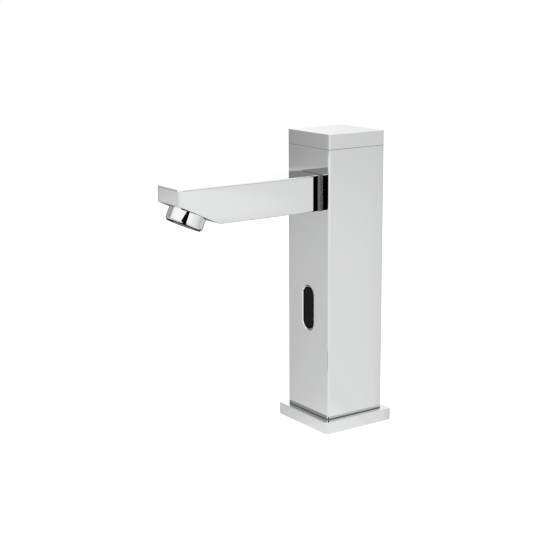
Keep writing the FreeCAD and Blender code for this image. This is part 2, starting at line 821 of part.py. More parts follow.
def valve_bonnet():
    half = bonnet_half_width
    body = block(-half, half, bonnet_front, bonnet_back, block_top, bonnet_top)
    body = body.makeFillet(bonnet_corner_radius, upright_edges(body))
    body = body.fuse(upright(bonnet_neck_radius, 0, valve_y, bonnet_top, neck_top))
    chamber_top = block_top + bonnet_chamber_depth
    body = body.cut(upright(annulus_radius, 0, valve_y, block_top, chamber_top))
    flange_room = tube_radius + core_flange_width + part_gap
    flange_top = chamber_top + core_flange_thickness + part_gap
    body = body.cut(upright(flange_room, 0, valve_y, chamber_top, flange_top))
    body = body.cut(upright(tube_radius + seat_clearance, 0, valve_y, flange_top, neck_top))
    for x, y in bonnet_screws_at:
        body = body.cut(upright(bonnet_screw[0] + part_gap, x, y, block_top, bonnet_top))
    return body.removeSplitter()


def bonnet_screws():
    return [screw(bonnet_screw, vector(x, y, bonnet_top), vector(0, 0, -1)) for x, y in bonnet_screws_at]


def core_tube():
    flange_base = block_top + bonnet_chamber_depth + part_gap / 2
    flange_top = flange_base + core_flange_thickness
    tube_top = magnet_top - magnet_thickness / 2
    body = upright(tube_radius, 0, valve_y, flange_base, tube_top)
    body = body.fuse(upright(tube_radius + core_flange_width, 0, valve_y, flange_base, flange_top))
    return body.cut(upright(tube_bore_radius, 0, valve_y, flange_base, tube_top)).removeSplitter()


def fixed_core():
    core_radius = tube_bore_radius - seat_clearance
    body = upright(core_radius, 0, valve_y, core_base, yoke_inner_top)
    stub = upright(core_stub_radius, 0, valve_y, yoke_inner_top, core_stub_top)
    return body.fuse(stub).removeSplitter()


def core_nut():
    base = yoke_top + seat_clearance
    start = vector(0, valve_y, base)
    body = hexagon(core_nut_across_flats, start, vector(0, 0, 1), core_nut_thickness, vector(0, 1, 0))
    bore_radius = core_stub_radius + thread_clearance
    return body.cut(upright(bore_radius, 0, valve_y, base, base + core_nut_thickness))


def plunger():
    body = upright(plunger_radius, 0, valve_y, plunger_base, plunger_top)
    pocket_radius = plunger_seal_radius + seat_clearance
    body = body.cut(upright(pocket_radius, 0, valve_y, plunger_base, plunger_base + plunger_seal_pocket))
    bore_base = plunger_top - plunger_spring_depth
    return body.cut(upright(plunger_spring_bore, 0, valve_y, bore_base, plunger_top))


def plunger_seal():
    return upright(plunger_seal_radius, 0, valve_y, seal_base, seal_base + plunger_seal_thickness)


def plunger_spring():
    low = plunger_top - plunger_spring_depth + seat_clearance
    high = core_base - seat_clearance
    return helical_spring(
        plunger_spring_radius, plunger_spring_wire, plunger_spring_turns, 0, valve_y, low, high
    )


def coil_bobbin():
    hub_radius = bobbin_bore_radius + bobbin_wall
    body = upright(hub_radius, 0, valve_y, bobbin_base, bobbin_top)
    low_flange_top = bobbin_base + bobbin_flange_thickness
    high_flange_base = bobbin_top - bobbin_flange_thickness
    body = body.fuse(upright(winding_radius, 0, valve_y, bobbin_base, low_flange_top))
    body = body.fuse(upright(winding_radius, 0, valve_y, high_flange_base, bobbin_top))
    lug_end = valve_y + winding_radius + lug_length
    half = lug_width / 2
    body = body.fuse(block(-half, half, valve_y, lug_end, high_flange_base, bobbin_top))
    return body.cut(upright(bobbin_bore_radius, 0, valve_y, bobbin_base, bobbin_top)).removeSplitter()


def coil_winding():
    inner_radius = bobbin_bore_radius + bobbin_wall + seat_clearance
    low = bobbin_base + bobbin_flange_thickness + part_gap / 2
    return ring(winding_radius - loose_gap, inner_radius, 0, valve_y, low, low + winding_length)


def latch_magnet():
    return ring(winding_radius, bobbin_bore_radius, 0, valve_y, magnet_base, magnet_top)


def coil_yoke():
    """A steel strap bent into a box round the coil, open at the front and back."""
    inner = winding_radius + yoke_side_gap
    outer = inner + yoke_thickness
    y_low = valve_y - yoke_depth / 2
    y_high = valve_y + yoke_depth / 2
    body = block(-outer, outer, y_low, y_high, neck_top, yoke_top)
    body = body.cut(block(-inner, inner, y_low, y_high, neck_top + yoke_thickness, yoke_inner_top))
    body = body.cut(upright(bobbin_bore_radius, 0, valve_y, neck_top, neck_top + yoke_thickness))
    return body.cut(upright(core_stub_radius + part_gap, 0, valve_y, yoke_inner_top, yoke_top))


def coil_lead():
    points = [
        vector(0, lug_y, bobbin_top + seat_clearance),
        vector(0, lug_y, yoke_top + coil_lead_rise),
        vector(coil_lead_x, lead_plane_y, control_base_height - coil_lead_straight),
        vector(coil_lead_x, lead_plane_y, low_connector_z - seat_clearance),
    ]
    return tube_along(points, lead_bend_radius, lead_radius)


def riser_tube():
    points = [
        vector(0, riser_offset, riser_foot + seat_clearance),
        vector(0, riser_offset, spout_axis_height),
        vector(0, riser_head_y, spout_axis_height),
    ]
    outer = tube_along(points, riser_bend_radius, riser_radius)
    inner = tube_along(points, riser_bend_radius, riser_radius - riser_wall)
    return outer.cut(inner)


def riser_o_rings():
    """Two rings in the block's gland and two in the spout tail's."""
    major = riser_radius + gland_width / 2
    minor = gland_width / 2 - part_gap / 2
    pitch = gland_width - part_gap / 2
    rings = []
    for step in range(gland_ring_count):
        along = (step + 0.5) * pitch
        low = vector(0, riser_offset, block_top - gland_depth + along)
        high = vector(0, tail_end_y - gland_depth + along, spout_axis_height)
        rings.append(o_ring(major, minor, low, vector(0, 0, 1)))
        rings.append(o_ring(major, minor, high, vector(0, 1, 0)))
    return rings


def gland_nut(seat, way):
    """A hexagonal gland nut: its thread reaches from seat back along way, its head stands on seat."""
    thread_radius = gland_radius - thread_clearance
    thread_start = seat.sub(vector(*way).multiply(gland_thread_length - part_gap / 2))
    head_end = seat.add(vector(*way).multiply(gland_head_length))
    flat_normal = vector(0, 1, 0) if abs(way.y) < 0.5 else vector(0, 0, 1)
    body = hexagon(gland_across_flats, seat, way, gland_head_length, flat_normal)
    body = body.fuse(rod(thread_radius, thread_start, seat))
    return body.cut(rod(riser_radius + part_gap, thread_start, head_end)).removeSplitter()


def riser_gland_nuts():
    low = gland_nut(vector(0, riser_offset, block_top), vector(0, 0, 1))
    high = gland_nut(vector(0, tail_end_y, spout_axis_height), vector(0, 1, 0))
    return [low, high]


def spout_tail():
    start = spout_root_y - spout_root_thickness + part_gap
    body = lying(tail_radius, 0, spout_axis_height, start, tail_end_y)
    gland_base = tail_end_y - gland_depth
    body = body.cut(lying(tail_bore_radius, 0, spout_axis_height, start, tail_end_y))
    socket_base = gland_base - riser_socket_depth
    body = body.cut(lying(riser_radius + seat_clearance, 0, spout_axis_height, socket_base, gland_base))
    return body.cut(lying(gland_radius, 0, spout_axis_height, gland_base, tail_end_y))


def spout_washer():
    low = front_wall_in
    high = low + spout_washer_thickness
    disc = lying(spout_washer_radius, 0, spout_axis_height, low, high)
    return disc.cut(lying(tail_radius + part_gap, 0, spout_axis_height, low, high))


def spout_nut():
    low = front_wall_in + spout_washer_thickness
    start = vector(0, low, spout_axis_height)
    body = hexagon(spout_nut_across_flats, start, vector(0, 1, 0), spout_nut_thickness, vector(1, 0, 0))
    bore_radius = tail_radius + thread_clearance
    return body.cut(lying(bore_radius, 0, spout_axis_height, low, low + spout_nut_thickness))


def spout_gasket():
    half_width = spout_width / 2 - spout_gasket_inset
    half_height = spout_height / 2 - spout_gasket_inset
    low_z = spout_axis_height - half_height
    high_z = spout_axis_height + half_height
    sheet = block(-half_width, half_width, spout_root_y, -half_column, low_z, high_z)
    return sheet.cut(lying(tail_radius + slide_clearance, 0, spout_axis_height, spout_root_y, -half_column))


def spout_prism(wall, root_y):
    """The spout's side outline, moved inwards by wall, drawn out to the width less two walls."""
    rise = wall * (1 - math.cos(bevel_angle)) / math.sin(bevel_angle)
    bevel_y = spout_bevel_y + wall * math.sin(bevel_angle) - rise * math.cos(bevel_angle)
    tip_y = spout_tip_y + wall
    bottom = spout_bottom + wall
    top = spout_top - wall
    tip_bottom = bottom + (bevel_y - tip_y) * math.tan(bevel_angle)
    half = spout_width / 2 - wall
    corners = [(root_y, top), (tip_y, top), (tip_y, tip_bottom), (bevel_y, bottom), (root_y, bottom)]
    outline = Part.makePolygon([vector(-half, y, z) for y, z in corners + corners[:1]])
    return Part.Face(outline).extrude(vector(2 * half, 0, 0))


def threaded_nipple():
    """The round spigot that the aerator ring screws on, with a groove at each turn of its thread."""
    inside = -2 * spout_wall
    points = [vector(0, 0, inside), vector(nipple_radius, 0, inside)]
    points.append(vector(nipple_radius, 0, thread_pitch / 2))
    turns = int((nipple_length - thread_pitch / 2) / thread_pitch)
    for turn in range(turns):
        low = thread_pitch * (turn + 0.5)
        points.append(vector(nipple_radius - thread_depth, 0, low + thread_pitch / 2))
        points.append(vector(nipple_radius, 0, low + thread_pitch))
    points.append(vector(nipple_radius, 0, nipple_length))
    points.append(vector(0, 0, nipple_length))
    points.append(points[0])
    return Part.Face(Part.makePolygon(points)).revolve(vector(0, 0, 0), vector(0, 0, 1), 360)


def spout_body():
    body = spout_prism(0, spout_root_y)
    upright_edges = [edge for edge in body.Edges if abs(edge.tangentAt(edge.FirstParameter).z) > 0.999]
    tip_corners = [edge for edge in upright_edges if edge.CenterOfMass.y < spout_tip_y + 1e-6]
    body = body.makeFillet(spout_corner_radius, tip_corners)
    root_edges = edges_where(body, lambda p: abs(p.y - spout_root_y) < 1e-6)
    body = body.makeChamfer(spout_root_bevel, root_edges)
    root_line = spout_root_y - spout_root_bevel
    outer = edges_where(body, lambda p: p.y < root_line + 1e-6)
    outer = [edge for edge in outer if edge.CenterOfMass.y < root_line - 1e-3]
    outer = [edge for edge in outer if abs(edge.tangentAt(edge.FirstParameter).z) < 0.999]
    body = body.makeFillet(spout_edge_radius, outer)
    hollow = spout_prism(spout_wall, spout_root_y - spout_root_thickness)
    body = body.cut(hollow)
    nipple = on_aerator_axis(threaded_nipple())
    nipple = nipple.cut(hollow)
    body = body.fuse(nipple)
    bore = upright(nipple_radius - nipple_wall, 0, 0, -2 * spout_wall, nipple_length + 1)
    body = body.cut(on_aerator_axis(bore))
    tail_room = tail_radius + thread_clearance
    socket_end = spout_root_y - spout_root_thickness
    body = body.cut(lying(tail_room, 0, spout_axis_height, socket_end, spout_root_y))
    return body.removeSplitter()


def aerator_ring():
    body = upright(aerator_ring_radius, 0, 0, ring_gap, aerator_ring_length)
    far_rim = edges_where(body, lambda p: p.z > aerator_ring_length - 1e-6)
    body = body.makeChamfer(aerator_ring_bevel, far_rim)
    body = body.cut(upright(ring_bore_radius, 0, 0, ring_gap, lip_start))
    return on_aerator_axis(body.cut(upright(lip_radius, 0, 0, lip_start, aerator_ring_length)))


def aerator_washer():
    outer_radius = ring_bore_radius - part_gap
    return on_aerator_axis(ring(outer_radius, cartridge_radius + part_gap, 0, 0, washer_start, washer_end))


def aerator_insert():
    """The plastic cartridge: a flange on the ring's lip, a cup up the bore and a drilled outlet grid."""
    flange_radius = ring_bore_radius - part_gap
    body = upright(flange_radius, 0, 0, flange_start, flange_end)
    body = body.fuse(upright(cartridge_radius, 0, 0, cartridge_start, flange_start))
    face_end = aerator_ring_length - end_gap
    body = body.fuse(upright(lip_radius - part_gap, 0, 0, flange_end, face_end))
    inner_radius = cartridge_radius - cartridge_wall
    body = body.cut(upright(inner_radius, 0, 0, cartridge_start, face_end - grid_thickness))
    holes = [upright(grid_hole_radius, 0, 0, face_end - grid_thickness, face_end)]
    for circle in range(1, grid_hole_rings + 1):
        for step in range(6 * circle):
            angle = 2 * math.pi * step / (6 * circle)
            x = circle * grid_hole_spacing * math.cos(angle)
            y = circle * grid_hole_spacing * math.sin(angle)
            holes.append(upright(grid_hole_radius, x, y, face_end - grid_thickness, face_end))
    return on_aerator_axis(body.cut(Part.makeCompound(holes)).removeSplitter())


def aerator_screens():
    """Two round screens laid on the cartridge's inner end."""
    radius = cartridge_radius - part_gap
    screens = []
    for step in (0, 1):
        end = cartridge_start - seat_clearance - step * 2 * screen_thickness
        screens.append(on_aerator_axis(upright(radius, 0, 0, end - screen_thickness, end)))
    return screens


def sensor_lens():
    body = stadium(lens_width, lens_height, lens_centre_height, lens_front_y, lens_flange_y)
    body = body.makeFillet(lens_edge_radius, edges_where(body, lambda p: p.y < lens_front_y + 1e-6))
    flange_width = lens_width + 2 * lens_flange_width
    flange_height = lens_height + 2 * lens_flange_width
    flange = stadium(flange_width, flange_height, lens_centre_height, lens_flange_y, lens_back_y)
    return body.fuse(flange).removeSplitter()


def sensor_gasket():
    flange_width = lens_width + 2 * lens_flange_width
    flange_height = lens_height + 2 * lens_flange_width
    sheet = stadium(flange_width, flange_height, lens_centre_height, front_wall_in, lens_flange_y)
    hole_width = 2 * window_half_width
    hole_height = lens_height + 2 * window_clearance
    return sheet.cut(stadium(hole_width, hole_height, lens_centre_height, front_wall_in, lens_flange_y))


def sensor_housing():
    body = block(
        -sensor_half_width,
        sensor_half_width,
        lens_back_y,
        sensor_back_y,
        lens_centre_height - sensor_half_height,
        lens_centre_height + sensor_half_height,
    )
    inner_half_width = sensor_half_width - sensor_housing_wall
    inner_half_height = sensor_half_height - sensor_housing_wall
    body = body.cut(
        block(
            -inner_half_width,
            inner_half_width,
            lens_back_y,
            sensor_back_y - sensor_housing_wall,
            lens_centre_height - inner_half_height,
            lens_centre_height + inner_half_height,
        )
    )
    half = sensor_barrier_thickness / 2
    barrier_end = sensor_board_y - part_gap
    barrier = block(
        -inner_half_width,
        inner_half_width,
        lens_back_y,
        barrier_end,
        lens_centre_height - half,
        lens_centre_height + half,
    )
    body = body.fuse(barrier)
    for side in (-1, 1):
        inner = side * sensor_half_width
        outer = side * sensor_ear_end
        low_z = lens_centre_height - sensor_ear_width / 2
        high_z = lens_centre_height + sensor_ear_width / 2
        ear_end = boss_face_y + ear_thickness
        ear = block(min(inner, outer), max(inner, outer), boss_face_y, ear_end, low_z, high_z)
        body = body.fuse(ear)
    for x, z in sensor_bosses:
        body = body.cut(lying(small_screw[0] + part_gap, x, z, boss_face_y, boss_face_y + ear_thickness))
    wall_start = sensor_back_y - sensor_housing_wall
    lead_hole = lying(lead_radius + part_gap, sensor_lead_x, led_heights[1], wall_start, sensor_back_y)
    return body.cut(lead_hole).removeSplitter()


def sensor_board():
    half_width = sensor_half_width - sensor_housing_wall - loose_gap
    half_height = sensor_half_height - sensor_housing_wall - loose_gap
    low_z = lens_centre_height - half_height
    high_z = lens_centre_height + half_height
    board_back = sensor_board_y + sensor_board_thickness
    return block(-half_width, half_width, sensor_board_y, board_back, low_z, high_z)


def light_dome(z):
    """A round-nosed diode standing on the sensor board and looking out of the window."""
    base = sensor_board_y - seat_clearance
    tip = base - led_length + led_radius
    body = lying(led_radius + wide_gap, 0, z, base - led_flange_thickness, base)
    body = body.fuse(lying(led_radius, 0, z, tip, base))
    nose = Part.makeSphere(led_radius, vector(0, tip, z), vector(0, -1, 0), 0, 90, 360)
    return body.fuse(nose).removeSplitter()


def small_screws(places):
    seat_y = boss_face_y + ear_thickness
    return [screw(small_screw, vector(x, seat_y, z), vector(0, -1, 0)) for x, z in places]


def sensor_lead():
    lead_z = led_heights[1]
    points = [
        vector(sensor_lead_x, sensor_board_y + sensor_board_thickness + seat_clearance, lead_z),
        vector(sensor_lead_x, lead_plane_y, lead_z),
        vector(sensor_lead_x, lead_plane_y, low_connector_z - seat_clearance),
    ]
    return tube_along(points, lead_bend_radius, lead_radius)


def control_housing():
    half = control_width / 2
    body = block(-half, half, boss_face_y, control_back_y, control_base_height, control_top_height)
    inner = half - control_wall
    inner_low = control_base_height + control_wall
    inner_high = control_top_height - control_wall
    body = body.cut(block(-inner, inner, boss_face_y + control_wall, control_back_y, inner_low, inner_high))
    for x, z in lid_posts:
        body = body.fuse(lying(control_post_radius, x, z, boss_face_y + control_wall, control_back_y))
    for x in (-control_standoff_x, control_standoff_x):
        for z in (-control_standoff_z, control_standoff_z):
            standoff_z = control_centre_height + z
            start = boss_face_y + control_wall
            end = control_board_y - part_gap
            body = body.fuse(lying(control_standoff_radius, x, standoff_z, start, end))
    for x, z in control_bosses:
        low_z = z - control_ear_width / 2 if z < control_centre_height else control_top_height
        high_z = control_base_height if z < control_centre_height else z + control_ear_width / 2
        half_ear = control_ear_width / 2
        ear_end = boss_face_y + ear_thickness
        body = body.fuse(block(x - half_ear, x + half_ear, boss_face_y, ear_end, low_z, high_z))
        body = body.cut(lying(small_screw[0] + part_gap, x, z, boss_face_y, ear_end))
    for x, z in lid_posts:
        seat = vector(x, control_back_y + control_lid_thickness, z)
        body = body.cut(screw_hole(lid_screw, seat, vector(0, -1, 0)))
    hole = lead_radius + part_gap
    for x in low_leads:
        body = body.cut(upright(hole, x, lead_plane_y, control_base_height, inner_low))
    body = body.cut(upright(hole, battery_lead_x, lead_plane_y, inner_high, control_top_height))
    return body.removeSplitter()


def control_lid():
    half = control_width / 2
    lid_end = control_back_y + control_lid_thickness
    body = block(-half, half, control_back_y, lid_end, control_base_height, control_top_height)
    for x, z in lid_posts:
        body = body.cut(lying(lid_screw[0] + part_gap, x, z, control_back_y, lid_end))
    return body


def lid_screws():
    seat_y = control_back_y + control_lid_thickness
    return [screw(lid_screw, vector(x, seat_y, z), vector(0, -1, 0)) for x, z in lid_posts]


def control_board():
    half = control_width / 2 - control_wall - loose_gap
    half_height = control_height / 2 - control_wall - loose_gap
    low_z = control_centre_height - half_height
    high_z = control_centre_height + half_height
    body = block(-half, half, control_board_y, control_board_back, low_z, high_z)
    for x, z in lid_posts:
        notch = lying(control_post_radius + wide_gap, x, z, control_board_y, control_board_back)
        body = body.cut(notch)
    return body


def storage_capacitor():
    z = control_centre_height + capacitor_radius
    x = control_width / 4
    start = control_board_back + seat_clearance
    body = lying(capacitor_radius, x, z, start, start + capacitor_length)
    rim = edges_where(body, lambda p: p.y > start + capacitor_length - 1e-6)
    return body.makeFillet(capacitor_radius / 8, rim)


def control_chip():
    half = chip_size / 2
    x = -control_width / 6
    start = control_board_back + seat_clearance
    low_z = control_centre_height - half
    return block(x - half, x + half, start, start + chip_thickness, low_z, low_z + chip_size)


def lead_connectors():
    """One plug socket on the board for each lead."""
    start = control_board_back + seat_clearance
    sockets = []
    for x in low_leads:
        sockets.append((x, low_connector_z))
    sockets.append((battery_lead_x, high_connector_z))
    half = connector_width / 2
    end = start + connector_depth
    return [block(x - half, x + half, start, end, z, z + connector_height) for x, z in sockets]


def battery_tray():
    body = square_post(2 * inner_fit, tray_base_height, tray_top)
    half = battery_width / 2 + slide_clearance
    front = -inner_fit + tray_front_wall
    body = body.cut(block(-half, half, front, battery_pocket_back, tray_floor, tray_top))
    for x in (-contact_spacing / 2, contact_spacing / 2):
        slot_half = contact_width / 2 + part_gap
        slot_low = contact_y - part_gap
        slot_high = contact_y + contact_thickness + part_gap
        low, high = x - slot_half, x + slot_half
        body = body.cut(block(low, high, slot_low, slot_high, tray_base_height, tray_floor))
    return body


def battery_contacts():
    """Two flat spring blades behind the battery, each with a tail through the tray's floor."""
    blades = []
    for x in (-contact_spacing / 2, contact_spacing / 2):
        half = contact_width / 2
        low = tray_base_height - contact_tail
        high = tray_top - end_gap
        blades.append(block(x - half, x + half, contact_y, contact_y + contact_thickness, low, high))
    return blades


def battery_block():
    half_width = battery_width / 2
    half_depth = battery_depth / 2
    body = block(-half_width, half_width, -half_depth, half_depth, battery_base, battery_top)
    middle = (battery_base + battery_top) / 2
    long_edges = edges_where(
        body,
        lambda p: abs(abs(p.x) - half_width) < 1e-6 and abs(abs(p.z - middle) - battery_height / 2) < 1e-6,
    )
    return body.makeFillet(battery_edge_radius, long_edges)


def battery_lead():
    tail_x = -contact_spacing / 2
    tail_y = contact_y - lead_radius - seat_clearance
    points = [
        vector(tail_x, tail_y, tray_base_height - wide_gap),
        vector(tail_x, tail_y, spout_axis_height + tail_radius),
        vector(battery_lead_x, lead_plane_y, spout_axis_height - tail_radius),
        vector(battery_lead_x, lead_plane_y, high_connector_z + connector_height + seat_clearance),
    ]
    return tube_along(points, lead_bend_radius, lead_radius)


def write_pieces(pieces):
    os.makedirs("parts", exist_ok=True)
    for name, shape in pieces.items():
        if isinstance(shape, list):
            shape = Part.makeCompound(shape)
        shape.exportStep(f"parts/{name}.step")
        print(f"{name}: {len(shape.Solids)} solid(s), {shape.Volume:.1f} mm3")


write_pieces(
    {
        "column_body": column_body(),
        "top_cap": top_cap(),
        "cap_gasket": cap_gasket(),
        "foot_gasket": foot_gasket(),
        "cap_grub_screw": cap_grub_screw(),
        "base_plate": base_plate(),
        "deck_gasket": deck_gasket(),
        "plate_screws": plate_screws(),
        "valve_block": valve_block(),
        "block_grub_screws": block_grub_screws(),
        "passage_plug": passage_plug(),
        "inlet_strainer": inlet_strainer(),
        "check_valve_cage": check_valve_cage(),
        "check_valve_o_ring": check_valve_o_ring(),
        "check_valve_poppet": check_valve_poppet(),
        "check_valve_spring": check_valve_spring(),
        "diaphragm": diaphragm(),
        "diaphragm_insert": diaphragm_insert(),
        "valve_bonnet": valve_bonnet(),
        "bonnet_screws": bonnet_screws(),
        "core_tube": core_tube(),
        "fixed_core": fixed_core(),
        "core_nut": core_nut(),
        "plunger": plunger(),
        "plunger_seal": plunger_seal(),
        "plunger_spring": plunger_spring(),
        "coil_bobbin": coil_bobbin(),
        "coil_winding": coil_winding(),
        "latch_magnet": latch_magnet(),
        "coil_yoke": coil_yoke(),
        "coil_lead": coil_lead(),
        "riser_tube": riser_tube(),
        "riser_o_rings": riser_o_rings(),
        "riser_gland_nuts": riser_gland_nuts(),
        "spout_body": spout_body(),
        "spout_gasket": spout_gasket(),
        "spout_tail": spout_tail(),
        "spout_washer": spout_washer(),
        "spout_nut": spout_nut(),
        "aerator_ring": aerator_ring(),
        "aerator_washer": aerator_washer(),
        "aerator_insert": aerator_insert(),
        "aerator_screens": aerator_screens(),
        "sensor_lens": sensor_lens(),
        "sensor_gasket": sensor_gasket(),
        "sensor_housing": sensor_housing(),
        "sensor_board": sensor_board(),
        "infrared_emitter": light_dome(led_heights[0]),
        "infrared_receiver": light_dome(led_heights[1]),
        "sensor_screws": small_screws(sensor_bosses),
        "sensor_lead": sensor_lead(),
        "control_housing": control_housing(),
        "control_lid": control_lid(),
        "control_screws": small_screws(control_bosses),
        "lid_screws": lid_screws(),
        "control_board": control_board(),
        "board_components": [storage_capacitor(), control_chip()] + lead_connectors(),
        "battery_tray": battery_tray(),
        "battery_contacts": battery_contacts(),
        "battery_block": battery_block(),
        "battery_lead": battery_lead(),
    }
)
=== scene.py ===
import json
import math

import bpy
from mathutils import Matrix, Vector


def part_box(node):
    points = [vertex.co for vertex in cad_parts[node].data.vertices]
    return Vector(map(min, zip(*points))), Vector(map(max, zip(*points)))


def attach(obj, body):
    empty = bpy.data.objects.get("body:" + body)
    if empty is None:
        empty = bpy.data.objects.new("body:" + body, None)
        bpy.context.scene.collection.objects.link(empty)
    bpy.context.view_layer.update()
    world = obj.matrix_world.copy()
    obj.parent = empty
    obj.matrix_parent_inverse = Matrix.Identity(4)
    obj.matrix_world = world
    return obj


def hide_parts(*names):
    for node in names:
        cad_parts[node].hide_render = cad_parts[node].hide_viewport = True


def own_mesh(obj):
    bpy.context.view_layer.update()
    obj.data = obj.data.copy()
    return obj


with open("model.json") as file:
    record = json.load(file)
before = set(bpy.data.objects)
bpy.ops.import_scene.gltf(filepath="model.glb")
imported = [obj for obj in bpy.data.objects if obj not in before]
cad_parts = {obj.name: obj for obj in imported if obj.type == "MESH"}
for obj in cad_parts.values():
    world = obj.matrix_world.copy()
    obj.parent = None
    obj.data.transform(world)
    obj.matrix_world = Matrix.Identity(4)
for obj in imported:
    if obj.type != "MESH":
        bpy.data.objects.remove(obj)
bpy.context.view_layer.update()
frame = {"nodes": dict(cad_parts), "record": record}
nodes = frame["nodes"]
bpy.ops.object.select_all(action="DESELECT")
print("frame loaded:", len(nodes), "nodes")


class Signal:
    # one output of a shader graph, which can be used in sums
    def __init__(self, graph, socket):
        self.graph = graph
        self.socket = socket

    def sum(self, operation, first, second):
        return self.graph.node("Math", {"operation": operation}, {0: first, 1: second})

    def __add__(self, other):
        return self.sum("ADD", self, other)

    def __radd__(self, other):
        return self.sum("ADD", other, self)

    def __sub__(self, other):
        return self.sum("SUBTRACT", self, other)

    def __rsub__(self, other):
        return self.sum("SUBTRACT", other, self)

    def __mul__(self, other):
        return self.sum("MULTIPLY", self, other)

    def __rmul__(self, other):
        return self.sum("MULTIPLY", other, self)

    def __truediv__(self, other):
        return self.sum("DIVIDE", self, other)

    def __gt__(self, other):
        return self.sum("GREATER_THAN", self, other)

    def __lt__(self, other):
        return self.sum("LESS_THAN", self, other)


class Graph:
    # the nodes of one material or of the world
    def __init__(self, owner):
        owner.use_nodes = True
        self.owner = owner
        self.tree = owner.node_tree
        self.tree.nodes.clear()

    def node(self, kind, settings=None, inputs=None, output=0):
        made = self.tree.nodes.new("ShaderNode" + kind)
        for name, value in (settings or {}).items():
            if name == "stops":
                while len(made.color_ramp.elements) < len(value):
                    made.color_ramp.elements.new(1.0)
                for element, (place, colour) in zip(made.color_ramp.elements, value):
                    element.position = place
                    element.color = colour
            else:
                setattr(made, name, value)
        for name, value in (inputs or {}).items():
            if isinstance(value, Signal):
                self.tree.links.new(value.socket, made.inputs[name])
            else:
                made.inputs[name].default_value = value
        return Signal(self, made.outputs[output]) if made.outputs else None

    def function(self, operation, *values):
        return self.node("Math", {"operation": operation}, dict(enumerate(values)))

    def blend(self, share, first, second):
        return self.node("Mix", {"data_type": "RGBA"}, {0: share, 6: first, 7: second}, 2)

    def between(self, value, low, high, start=0.0, end=1.0):
        # value moved from low..high to start..end with soft ends
        settings = {"interpolation_type": "SMOOTHSTEP"}
        return self.node("MapRange", settings, {0: value, 1: low, 2: high, 3: start, 4: end})

    def along(self, vector, axis):
        # the part of a vector along axis 0, 1 or 2
        return self.node("SeparateXYZ", {}, {0: vector}, axis)

    def ray(self, kind):
        return self.node("LightPath", output=kind)

    def place(self, scale=(1, 1, 1), turn=(0, 0, 0)):
        # the piece's own coordinates in metres
        coordinates = self.node("TexCoord", output="Object")
        return self.node("Mapping", {}, {"Vector": coordinates, "Scale": scale, "Rotation": turn})

    def noise(self, scale, detail=2.0, roughness=0.5, stretch=(1, 1, 1), turn=(0, 0, 0)):
        values = {"Vector": self.place(stretch, turn), "Scale": scale, "Detail": detail}
        values["Roughness"] = roughness
        return self.node("TexNoise", {}, values)

    def bump(self, height, strength, distance):
        values = {"Height": height, "Strength": strength, "Distance": distance}
        return self.node("Bump", {}, values)

    def surface(self, **values):
        # the finished material, with _ for each space in a socket's name
        named = {name.replace("_", " "): value for name, value in values.items()}
        shader = self.node("BsdfPrincipled", {}, named)
        self.node("OutputMaterial", {}, {"Surface": shader})
        return self.owner


def newMaterial(name):
    return Graph(bpy.data.materials.new(name))


def grey(level):
    return (level, level, level, 1)


# Camera, at the photograph's viewing angle, in degrees, metres and, for the lens, millimetres
cameraView = {
    "azimuth": 55.112,
    "elevation": 13.035,
    "roll": -0.279,
    "distance": 0.880442,
    "aside": -0.037822,
    "height": 0.098306,
    "lens": 82.465,
    "sensor": 36,
    "clip": (0.05, 50),
}


def makeCamera(v):
    turn = math.radians(v["azimuth"])
    rise = math.radians(v["elevation"])
    roll = math.radians(v["roll"])
    flat = math.cos(rise)
    back = Vector((math.sin(turn) * flat, -math.cos(turn) * flat, math.sin(rise)))
    level = Vector((math.cos(turn), math.sin(turn), 0))
    over = back.cross(level)
    right = level * math.cos(roll) + over * math.sin(roll)
    up = over * math.cos(roll) - level * math.sin(roll)
    place = Vector((0, 0, v["height"])) + level * v["aside"] + back * v["distance"]
    camera = bpy.data.objects.new("camera", bpy.data.cameras.new("camera"))
    bpy.context.scene.collection.objects.link(camera)
    facing = Matrix((right, up, back)).transposed().to_4x4()
    camera.matrix_world = Matrix.Translation(place) @ facing
    camera.data.lens = v["lens"]
    camera.data.sensor_width = v["sensor"]
    camera.data.clip_start, camera.data.clip_end = v["clip"]
    bpy.context.scene.camera = camera


